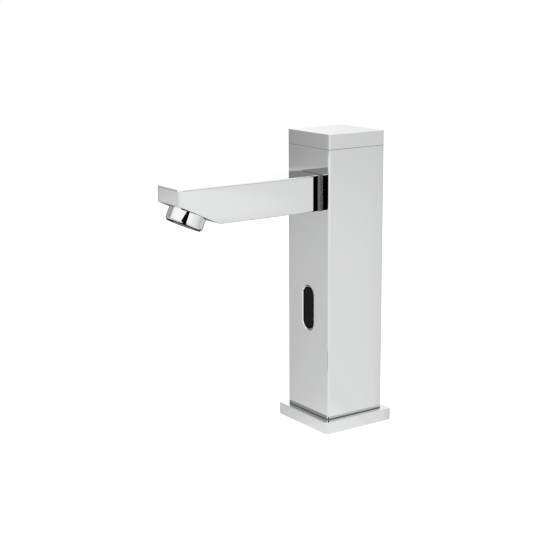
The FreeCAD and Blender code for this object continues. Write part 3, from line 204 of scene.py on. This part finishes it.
# Studio: a pale floor and walls as the chrome mirrors them, by the direction they lie in; their
# bright and dark bands, seen only in mirroring, are painted reflections.
# Each list holds azimuths, where 0 lies towards -Y and 90 towards +X, and the level there.
studio = {
    "floorSize": 12.0,
    "floorColour": grey(0.82),
    "floorGlow": 0.80,  # the floor's own light in the picture, which makes it white
    "floorShade": 0.45,  # its share that takes the shadow in the picture
    "nearFloor": [
        (-180, 0.50), (-145, 0.42), (-130, 0.14), (-118, 0.14), (-70, 0.22), (-58, 0.50),
        (-48, 0.58), (-20, 0.66), (15, 0.76), (55, 0.82), (98, 0.80), (110, 0.74),
        (118, 0.76), (128, 0.73), (136, 0.55), (141, 0.60), (180, 0.50),
    ],
    "farFloor": [
        (-180, 0.42), (-145, 0.42), (-130, 0.12), (-118, 0.10), (-62, 0.12), (-55, 0.32),
        (-51, 0.44), (-20, 0.66), (15, 0.76), (55, 0.82), (100, 0.86), (112, 0.84),
        (119, 0.74), (127, 0.66), (140, 0.55), (180, 0.42),
    ],
    "horizon": [
        (-180, 0.90), (-140, 0.86), (-127.5, 0.88), (-124.5, 1.05), (-114, 1.10), (-107, 0.12),
        (-99, 0.12), (-90, 0.42), (-63, 0.40), (-56, 0.21), (-50, 0.26), (-35, 0.9), (0, 0.98),
        (90, 0.96), (108, 0.85), (118, 0.48), (132, 0.48), (160, 0.62), (180, 0.80),
    ],
    "nearReach": 0.45,
    "farReach": 1.6,
    "horizonKept": 0.2,
    "skyFrom": 0.95,
    "skyLevel": 1.0,
    "skyForDiffuse": 0.62,
    "darkAzimuth": 54.5,
    "darkHalfWidth": 42.0,
    # patches of the floor's mirrored light: a painted highlight for the spout's tip, a slight
    # painted highlight for its lit side, and a black painted shadow under the spout for the
    # aerator's edge
    "patches": [
        {"place": (-0.893, -0.642), "radius": 0.16, "level": 1.46},
        {"place": (0.846, 0.386), "radius": 0.12, "level": 1.07},
        {"place": (0.003, -0.190), "radius": 0.03, "level": 0.0},
    ],
    "patchEdge": (0.7, 1.3),  # where a patch starts and ends to fade, in radii
}


def azimuthFrom(graph, x, y, middle):
    # degrees away from a direction, where 0 looks along -Y and 90 along +X
    turn = math.radians(middle)
    ahead = x * math.sin(turn) - y * math.cos(turn)
    across = x * math.cos(turn) + y * math.sin(turn)
    return graph.function("ARCTAN2", across, ahead) * math.degrees(1)


def around(graph, x, y, levels):
    # the level of a list of azimuths in the direction of x and y
    share = azimuthFrom(graph, x, y, 0) / 360 + 0.5
    top = max(level for azimuth, level in levels)
    stops = [(azimuth / 360 + 0.5, grey(level / top)) for azimuth, level in levels]
    return graph.node("ValToRGB", {"stops": stops}, {"Fac": share}) * top


def paintDarkSecondMirroring(graph, s, x, y, level):
    # painted dark reflection: chrome seen in chrome finds the camera's side painted dark, and the
    # next mirroring finds nothing
    away = graph.function("ABSOLUTE", azimuthFrom(graph, x, y, s["darkAzimuth"]))
    dark = graph.between(s["darkHalfWidth"] - away, -1.0, 1.0)
    bounces = graph.ray("Glossy Depth")
    return level * (1 - (bounces > 1.5) * dark) * (bounces < 2.5)


def makeFloor(s):
    bpy.ops.mesh.primitive_plane_add(size=s["floorSize"])
    floor = bpy.context.object
    floor.name = "floor"
    graph = newMaterial("floor")
    coordinates = graph.node("TexCoord", output="Object")
    x = graph.along(coordinates, 0)
    y = graph.along(coordinates, 1)
    reach = graph.function("SQRT", x * x + y * y)
    far = graph.between(reach, s["nearReach"], s["farReach"])
    near = around(graph, x, y, s["nearFloor"])
    level = near + far * (around(graph, x, y, s["farFloor"]) - near)
    fadeStart, fadeEnd = s["patchEdge"]
    # each patch paints a highlight or a shadow into the floor's mirrored light
    for patch in s["patches"]:
        patchX = x - patch["place"][0]
        patchY = y - patch["place"][1]
        away = graph.function("SQRT", patchX * patchX + patchY * patchY)
        radius = patch["radius"]
        inside = 1 - graph.between(away, fadeStart * radius, fadeEnd * radius)
        level = level * (1 + inside * (patch["level"] - 1))
    # painted dark reflection for chrome seen in chrome
    level = paintDarkSecondMirroring(graph, s, x, y, level)
    mirrored = graph.node("Emission", {}, {"Color": level, "Strength": 1.0})
    matt = graph.node("BsdfDiffuse", {}, {"Color": s["floorColour"]})
    white = graph.node("Emission", {}, {"Color": grey(1), "Strength": s["floorGlow"]})
    pale = graph.node("BsdfDiffuse", {}, {"Color": grey(s["floorShade"])})
    seen = graph.node("AddShader", {}, {0: white, 1: pale})
    shader = graph.node("MixShader", {}, {0: graph.ray("Is Camera Ray"), 1: matt, 2: seen})
    shader = graph.node("MixShader", {}, {0: graph.ray("Is Glossy Ray"), 1: shader, 2: mirrored})
    isBelow = graph.node("NewGeometry", output="Backfacing")  # clear when seen from below
    clear = graph.node("BsdfTransparent")
    shader = graph.node("MixShader", {}, {0: isBelow, 1: shader, 2: clear})
    graph.node("OutputMaterial", {}, {"Surface": shader})
    floor.data.materials.append(graph.owner)


darkCard = {
    "place": (0.0730, -0.1687, 0.1765),
    "azimuth": 55.0,
    "width": 0.052,
    "height": 0.020,
    "level": 0.004,
}


def makeDarkCard(v):
    # a small card in front of the aerator, which only polished parts mirror: a painted dark
    # reflection that casts no shadow
    turn = (math.pi / 2, 0, math.radians(v["azimuth"]))
    bpy.ops.mesh.primitive_plane_add(size=1, location=v["place"], rotation=turn)
    card = bpy.context.object
    card.name = "dark_card"
    card.scale = (v["width"], v["height"], 1)
    bpy.ops.object.transform_apply(location=True, rotation=True, scale=True)
    graph = newMaterial("darkCard")
    matt = graph.surface(Base_Color=grey(v["level"]), Roughness=1.0, Specular_IOR_Level=0.0)
    card.data.materials.append(matt)
    card.visible_camera = False
    card.visible_diffuse = False
    card.visible_transmission = False
    card.visible_shadow = False


def makeWorld(s):
    world = bpy.data.worlds.new("studio")
    bpy.context.scene.world = world
    graph = Graph(world)
    direction = graph.node("TexCoord", output="Generated")
    x = graph.along(direction, 0)
    y = graph.along(direction, 1)
    z = graph.along(direction, 2)
    high = graph.between(z, s["horizonKept"], s["skyFrom"])
    horizon = around(graph, x, y, s["horizon"])
    level = horizon + high * (s["skyLevel"] - horizon)
    # painted dark reflection for chrome seen in chrome
    level = paintDarkSecondMirroring(graph, s, x, y, level)
    isCamera = graph.ray("Is Camera Ray")
    isThrough = graph.ray("Is Transmission Ray")
    shown = graph.blend(graph.ray("Is Glossy Ray"), grey(s["skyForDiffuse"]), level)
    shown = graph.blend(graph.function("MAXIMUM", isCamera, isThrough), shown, grey(1))
    sky = graph.node("Background", {}, {"Color": shown, "Strength": 1.0})
    graph.node("OutputWorld", {}, {"Surface": sky})


lamps = {
    "key": {"place": (-0.7, -0.9, 1.3), "size": 0.9, "watts": 11.0},
    "fill": {"place": (1.2, 0.5, 0.8), "size": 1.1, "watts": 6.0},
}
lampAim = (0, -0.03, 0.1)


def makeLamps(wanted, aim):
    for name, values in wanted.items():
        light = bpy.data.lights.new(name, "AREA")
        light.size = values["size"]
        light.energy = values["watts"]
        lamp = bpy.data.objects.new(name, light)
        bpy.context.scene.collection.objects.link(lamp)
        lamp.location = values["place"]
        beam = Vector(aim) - Vector(values["place"])
        lamp.rotation_euler = beam.to_track_quat("-Z", "Y").to_euler()
        lamp.visible_glossy = False


makeCamera(cameraView)
makeFloor(studio)
makeDarkCard(darkCard)
makeWorld(studio)
makeLamps(lamps, lampAim)
bpy.context.scene.view_settings.view_transform = "Standard"
print("camera and studio ready")


# Finishes. Noise scales are per metre, and relief and depth are a bump's strength and metres.
chrome = {
    "colour": (0.93, 0.935, 0.94, 1),
    "smooth": 0.018,
    "dull": 0.045,
    "handling": 38.0,
    "hairlines": 900.0,
    "scratches": 0.02,  # the hairlines' share of the relief
    "sway": 16.0,
    "relief": 0.05,
    "depth": 0.0004,
}


def makeChrome(v):
    graph = newMaterial("polishedChrome")
    handled = graph.noise(v["handling"], 3.0, 0.6)
    rough = graph.between(handled, 0.35, 0.75, v["smooth"], v["dull"])
    hairlines = graph.noise(v["hairlines"], 2.0, 0.5, (1.0, 1.0, 0.03), (0.0, 0.3, 0.2))
    sway = graph.noise(v["sway"], 1.0, 0.4)
    normal = graph.bump(hairlines * v["scratches"] + sway, v["relief"], v["depth"])
    return graph.surface(Base_Color=v["colour"], Metallic=1.0, Roughness=rough, Normal=normal)


brass = {
    "colour": (0.76, 0.55, 0.26, 1),
    "tarnish": (0.42, 0.27, 0.11, 1),
    "tarnished": 0.55,
    "patches": 70.0,
    "grain": 600.0,
    "rough": 0.26,
    "relief": 0.16,
    "depth": 0.0002,
}


def makeBrass(v):
    graph = newMaterial("machinedBrass")
    patches = graph.between(graph.noise(v["patches"], 4.0, 0.62), 0.42, 0.72)
    grain = graph.noise(v["grain"], 3.0, 0.6, (1.0, 1.0, 6.0))
    colour = graph.blend(patches * v["tarnished"], v["colour"], v["tarnish"])
    rough = v["rough"] + patches * 0.14 + grain * 0.08
    normal = graph.bump(grain, v["relief"], v["depth"])
    return graph.surface(Base_Color=colour, Metallic=1.0, Roughness=rough, Normal=normal)


steel = {
    "colour": (0.62, 0.62, 0.61, 1),
    "shade": (0.46, 0.46, 0.47, 1),
    "patches": 90.0,
    "brushing": 420.0,
    "rough": 0.24,
    "relief": 0.12,
    "depth": 0.0002,
}


def makeSteel(v):
    graph = newMaterial("brushedSteel")
    drawn = graph.noise(v["brushing"], 3.0, 0.6, (1.0, 1.0, 0.08))
    patches = graph.between(graph.noise(v["patches"], 3.0, 0.55), 0.4, 0.7)
    colour = graph.blend(patches, v["colour"], v["shade"])
    normal = graph.bump(drawn, v["relief"], v["depth"])
    rough = v["rough"] + drawn * 0.12
    return graph.surface(Base_Color=colour, Metallic=1.0, Roughness=rough, Normal=normal)


wire = {
    "colour": (0.58, 0.20, 0.07, 1),
    # painted shade in the grooves between the wire's turns
    "grooveShade": (0.16, 0.045, 0.02, 1),
    "pitch": 0.00032,
    "stain": 240.0,
    "metallic": 0.85,
    "rough": 0.2,
    "relief": 0.6,
    "depth": 0.00012,
}


def makeCopper(v):
    graph = newMaterial("enamelledCopper")
    height = graph.along(graph.place(), 2)
    turns = graph.function("SINE", height * (2 * math.pi / v["pitch"]))
    groove = graph.between(turns, -0.9, 0.2)
    stain = graph.noise(v["stain"], 3.0, 0.6)
    # painted shade: the colour darkens in the grooves between the turns, and the stains vary it
    # at random
    colour = graph.blend(groove * 0.8 + stain * 0.2, v["grooveShade"], v["colour"])
    normal = graph.bump(groove, v["relief"], v["depth"])
    rough = v["rough"] + stain * 0.22
    return graph.surface(
        Base_Color=colour, Metallic=v["metallic"], Roughness=rough, Normal=normal
    )


rubber = {
    "colour": (0.018, 0.018, 0.019, 1),
    "bloom": (0.055, 0.055, 0.056, 1),
    "patches": 130.0,
    "pores": 2600.0,
    "rough": 0.58,
    "relief": 0.25,
    "depth": 0.00012,
}


def makeRubber(v):
    graph = newMaterial("blackRubber")
    bloom = graph.between(graph.noise(v["patches"], 4.0, 0.65), 0.45, 0.8)
    pores = graph.noise(v["pores"], 2.0, 0.6)
    colour = graph.blend(bloom, v["colour"], v["bloom"])
    normal = graph.bump(pores, v["relief"], v["depth"])
    return graph.surface(Base_Color=colour, Roughness=v["rough"] + bloom * 0.16, Normal=normal)


windows = {
    "darkWindow": {
        "colour": (0.0068, 0.0063, 0.0069, 1),
        "wiped": (0.014, 0.0125, 0.0135, 1),
        "rough": 0.09,
        "gloss": 0.03,
    },
    # the window's black border, with no gloss, which is also painted shade of the gap around the
    # lens
    "windowBorderAndShade": {
        "colour": grey(0.0006),
        "wiped": grey(0.0012),
        "rough": 0.4,
        "gloss": 0.0,
    },
}
windowSurface = {"wiping": 180.0, "sway": 60.0, "relief": 0.06, "depth": 0.0002}


def makeWindow(name, surface):
    v = windows[name]
    graph = newMaterial(name)
    wiped = graph.noise(surface["wiping"], 3.0, 0.6, (1.0, 1.0, 0.3))
    sway = graph.noise(surface["sway"], 1.0, 0.5)
    colour = graph.blend(wiped, v["colour"], v["wiped"])
    normal = graph.bump(sway, surface["relief"], surface["depth"])
    rough = v["rough"] + wiped * 0.08
    return graph.surface(
        Base_Color=colour, Roughness=rough, Specular_IOR_Level=v["gloss"], Normal=normal
    )


plastics = {
    "greyRubber": {
        "colour": (0.20, 0.20, 0.20, 1),
        "shade": (0.24, 0.24, 0.24, 1),
        "rough": 0.5,
        "grain": 1800.0,
    },
    "darkPlastic": {
        "colour": (0.03, 0.031, 0.033, 1),
        "shade": (0.048, 0.049, 0.052, 1),
        "rough": 0.4,
        "grain": 1500.0,
    },
    "palePlastic": {
        "colour": (0.70, 0.69, 0.65, 1),
        "shade": (0.60, 0.585, 0.54, 1),
        "rough": 0.36,
        "grain": 1200.0,
    },
    "leadJacket": {
        "colour": (0.42, 0.025, 0.02, 1),
        "shade": (0.30, 0.018, 0.015, 1),
        "rough": 0.42,
        "grain": 2000.0,
    },
}
plasticSurface = {"flow": 55.0, "relief": 0.18, "depth": 0.00015}


def makePlastic(name, surface):
    # moulded plastic or rubber, with the marks of its flow and a fine grain
    v = plastics[name]
    graph = newMaterial(name)
    flow = graph.between(graph.noise(surface["flow"], 3.0, 0.55), 0.3, 0.75)
    grain = graph.noise(v["grain"], 2.0, 0.55)
    colour = graph.blend(flow, v["colour"], v["shade"])
    normal = graph.bump(grain, surface["relief"], surface["depth"])
    return graph.surface(Base_Color=colour, Roughness=v["rough"] + flow * 0.1, Normal=normal)


board = {
    "mask": (0.008, 0.085, 0.035, 1),
    "track": (0.022, 0.17, 0.06, 1),
    "pad": (0.62, 0.60, 0.52, 1),
    "tracks": 520.0,
    "pads": 300.0,
    "padSize": 0.17,
    "metallic": 0.9,
    "rough": 0.34,
    "relief": 0.35,
    "depth": 0.00006,
}


def makeBoard(v):
    graph = newMaterial("circuitBoard")
    flat = graph.place((1, 1, 1), (math.pi / 2, 0, 0))
    values = {"Vector": flat, "Scale": v["tracks"]}
    values.update({"Color1": grey(0), "Color2": grey(1), "Mortar": grey(0.5)})
    values.update({"Mortar Size": 0.09, "Brick Width": 1.9, "Row Height": 0.55})
    tracks = graph.node("TexBrick", {"offset": 0.37, "squash": 1.4}, values, "Fac")
    values = {"Vector": flat, "Scale": v["pads"]}
    tinned = graph.node("TexVoronoi", {"feature": "F1"}, values, "Distance") < v["padSize"]
    colour = graph.blend(tracks, v["mask"], v["track"])
    colour = graph.blend(tinned, colour, v["pad"])
    normal = graph.bump(tracks + tinned, v["relief"], v["depth"])
    metal = tinned * v["metallic"]
    rough = v["rough"] + graph.noise(300.0) * 0.12
    return graph.surface(Base_Color=colour, Metallic=metal, Roughness=rough, Normal=normal)


magnet = {
    "colour": (0.075, 0.075, 0.08, 1),
    "shade": (0.14, 0.14, 0.15, 1),
    "grain": 900.0,
    "metallic": 0.55,
    "rough": 0.48,
    "relief": 0.4,
    "depth": 0.0002,
}


def makeMagnet(v):
    graph = newMaterial("sinteredMagnet")
    grain = graph.noise(v["grain"], 4.0, 0.7)
    colour = graph.blend(grain, v["colour"], v["shade"])
    normal = graph.bump(grain, v["relief"], v["depth"])
    rough = v["rough"] + grain * 0.2
    return graph.surface(
        Base_Color=colour, Metallic=v["metallic"], Roughness=rough, Normal=normal
    )


wrap = {
    "sleeve": (0.028, 0.034, 0.05, 1),
    "band": (0.66, 0.67, 0.66, 1),
    "bandFrom": 0.16,  # shares of the block's height
    "bandTo": 0.26,
    "bandEdge": 0.005,
    "creases": 120.0,
    "rough": 0.3,
    "relief": 0.3,
    "depth": 0.0003,
}


def makeWrap(v):
    graph = newMaterial("batteryWrap")
    low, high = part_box("battery_block")
    share = (graph.along(graph.place(), 2) - low.z) / (high.z - low.z)
    edge = v["bandEdge"]
    above = graph.between(share, v["bandFrom"] - edge, v["bandFrom"] + edge)
    below = 1 - graph.between(share, v["bandTo"] - edge, v["bandTo"] + edge)
    creases = graph.noise(v["creases"], 4.0, 0.6, (1.0, 0.25, 1.0))
    colour = graph.blend(above * below, v["sleeve"], v["band"])
    normal = graph.bump(creases, v["relief"], v["depth"])
    return graph.surface(Base_Color=colour, Roughness=v["rough"] + creases * 0.12, Normal=normal)


finishes = {
    "polished_chrome": makeChrome(chrome),
    "brass": makeBrass(brass),
    "stainless_steel": makeSteel(steel),
    "copper": makeCopper(wire),
    "black_rubber": makeRubber(rubber),
    "grey_rubber": makePlastic("greyRubber", plasticSurface),
    "dark_window": makeWindow("darkWindow", windowSurface),
    "dark_plastic": makePlastic("darkPlastic", plasticSurface),
    "pale_plastic": makePlastic("palePlastic", plasticSurface),
    "circuit_board": makeBoard(board),
    "magnet": makeMagnet(magnet),
    "battery_wrap": makeWrap(wrap),
    "lead_jacket": makePlastic("leadJacket", plasticSurface),
}


def dressNodes():
    # each carried-over node takes the finish of its slot in the record
    for entry in frame["record"]["subparts"]:
        materials = nodes[entry["node"]].data.materials
        materials.clear()
        materials.append(finishes[entry["material_slot"]])


dressNodes()
print("finishes on", len(nodes), "nodes")


# Pieces modelled here, beside the carried-over nodes
edges = {"segments": 3, "smoothUnder": 35}


def keepPiece(piece, name, finish, body, roundness, material=None):
    # edges rounded, place taken into the mesh, finish and body given
    bpy.ops.object.mode_set(mode="OBJECT")
    if roundness:
        bevel = piece.modifiers.new("edges", "BEVEL")
        bevel.width = roundness
        bevel.segments = edges["segments"]
        bevel.limit_method = "ANGLE"
        bpy.ops.object.modifier_apply(modifier="edges")
    bpy.ops.object.transform_apply(location=True, rotation=True, scale=True)
    bpy.ops.object.shade_smooth_by_angle(angle=math.radians(edges["smoothUnder"]))
    piece.name = name
    piece.data.materials.clear()
    piece.data.materials.append(material or finishes[finish])
    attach(piece, body)
    piece.select_set(False)
    print("made", name)


def turnOutwards():
    # every face of the mesh in edit mode
    bpy.ops.mesh.select_all(action="SELECT")
    bpy.ops.mesh.normals_make_consistent(inside=False)


def raiseRim(width, rise):
    # the selected flat face becomes a raised rim of this width
    bpy.ops.mesh.inset(thickness=width, depth=0)
    bpy.ops.mesh.delete(type="FACE")
    bpy.ops.mesh.select_all(action="SELECT")
    bpy.ops.mesh.extrude_region_move(TRANSFORM_OT_translate={"value": rise})
    turnOutwards()


springs = {
    "plunger_spring": {"joint": "plunger_lift", "travel": 0.0016},
    "check_valve_spring": {"joint": "check_valve_lift", "travel": 0.0020},
}
springWire = {"radius": 0.0002, "coil": 0.0015, "turns": 6, "sides": 10, "steps": 20}


def makeSpring(name, v):
    # a coil in place of the rigid one
    low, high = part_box(name)
    length = high.z - low.z
    middle = (low + high) / 2
    start = (middle.x, middle.y, low.z + v["radius"])
    upright = (math.pi / 2, 0, 0)
    bpy.ops.mesh.primitive_circle_add(
        vertices=v["sides"], radius=v["radius"], location=start, rotation=upright
    )
    piece = bpy.context.object
    bpy.ops.object.transform_apply(location=False, rotation=True, scale=False)
    bpy.ops.object.mode_set(mode="EDIT")
    bpy.ops.mesh.select_all(action="SELECT")
    bpy.ops.transform.translate(value=(v["coil"], 0, 0))
    bpy.ops.object.mode_set(mode="OBJECT")
    screw = piece.modifiers.new("turns", "SCREW")
    screw.iterations = v["turns"]
    screw.screw_offset = (length - 2 * v["radius"]) / v["turns"]
    screw.steps = v["steps"]
    screw.render_steps = v["steps"]
    bpy.ops.object.modifier_apply(modifier="turns")
    bpy.ops.object.mode_set(mode="EDIT")
    bpy.ops.mesh.select_all(action="SELECT")
    bpy.ops.mesh.fill_holes(sides=0)
    turnOutwards()
    keepPiece(piece, name + "_coil", "stainless_steel", "tap", 0)
    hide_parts(name)
    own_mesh(piece)


# a dark rim on the aerator's end, which paints the dark reflection along the chrome ring's edge
aeratorShadeRim = {
    "centre": (0, -0.1160812, 0.1573486),
    "axis": (0, -0.421469, -0.906843),
    "start": 0.00830,
    "height": 0.00052,
    "outerRadius": 0.01145,
    "width": 0.0012,
    "roundness": 0.0002,
    "sides": 96,
}


def makeAeratorShadeRim(v):
    axis = Vector(v["axis"])
    turn = Vector((0, 0, 1)).rotation_difference(axis).to_euler()
    place = Vector(v["centre"]) + axis * v["start"]
    bpy.ops.mesh.primitive_circle_add(
        vertices=v["sides"], radius=v["outerRadius"], fill_type="NGON", location=place,
        rotation=turn,
    )
    piece = bpy.context.object
    bpy.ops.object.mode_set(mode="EDIT")
    raiseRim(v["width"], axis * v["height"])
    # painted reflection: a black outline along the chrome aerator ring's edge
    keepPiece(piece, "aerator_shade_rim", "dark_window", "aerator_carrier", v["roundness"])


windowTrim = {
    "width": 0.01248,
    "height": 0.03058,
    "sides": 64,
    "bezel": 0.0005,
    "bezelDepth": 0.00026,
    "bezelWall": 0.00004,
    "rim": 0.0010,
    "rimSunk": 0.00002,
    "rimHeight": 0.00006,
    "roundness": 0.00002,
}


def windowOutline(v, inset, out):
    # a filled shape with round ends, this far inside the opening and in front of the window
    low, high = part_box("sensor_lens")
    radius = (v["width"] - 2 * inset) / 2
    place = Vector((0, low.y - out, (low.z + high.z) / 2))
    bpy.ops.mesh.primitive_circle_add(
        vertices=v["sides"], radius=radius, fill_type="NGON", location=place,
        rotation=(math.pi / 2, 0, 0),
    )
    piece = bpy.context.object
    rise = (v["height"] - 2 * inset) / 2 - radius
    bpy.ops.object.mode_set(mode="EDIT")
    bpy.ops.mesh.select_mode(type="VERT")
    for side in (-1, 1):
        bpy.ops.mesh.select_all(action="DESELECT")
        bpy.ops.object.mode_set(mode="OBJECT")
        for vertex in piece.data.vertices:
            vertex.select = vertex.co.y * side > 1e-6  # this end's half of the circle
        bpy.ops.object.mode_set(mode="EDIT")
        bpy.ops.transform.translate(value=(0, 0, rise * side))
    bpy.ops.mesh.select_all(action="SELECT")
    return piece


def makeWindowTrim(v):
    # a sloping chrome bezel in the opening, and inside it the window's black border,
    # unreflecting, which also paints the shadow of the gap around the lens
    bezel = windowOutline(v, 0, v["bezelDepth"] + v["bezelWall"])
    bpy.ops.mesh.inset(thickness=v["bezel"], depth=-v["bezelDepth"])
    bpy.ops.mesh.delete(type="FACE")
    bpy.ops.object.mode_set(mode="OBJECT")
    wall = bezel.modifiers.new("wall", "SOLIDIFY")
    wall.thickness = v["bezelWall"]
    wall.offset = -1
    bpy.ops.object.modifier_apply(modifier="wall")
    keepPiece(bezel, "sensor_window_bezel", "polished_chrome", "tap", 0)
    rim = windowOutline(v, v["bezel"], -v["rimSunk"])
    raiseRim(v["rim"], Vector((0, -v["rimHeight"], 0)))
    # black and unreflecting: the window's border and painted shade of the gap around the lens
    black = makeWindow("windowBorderAndShade", windowSurface)
    keepPiece(rim, "sensor_window_rim", "dark_window", "tap", v["roundness"], black)


for springName, springValues in springs.items():
    makeSpring(springName, springWire)
makeAeratorShadeRim(aeratorShadeRim)
makeWindowTrim(windowTrim)
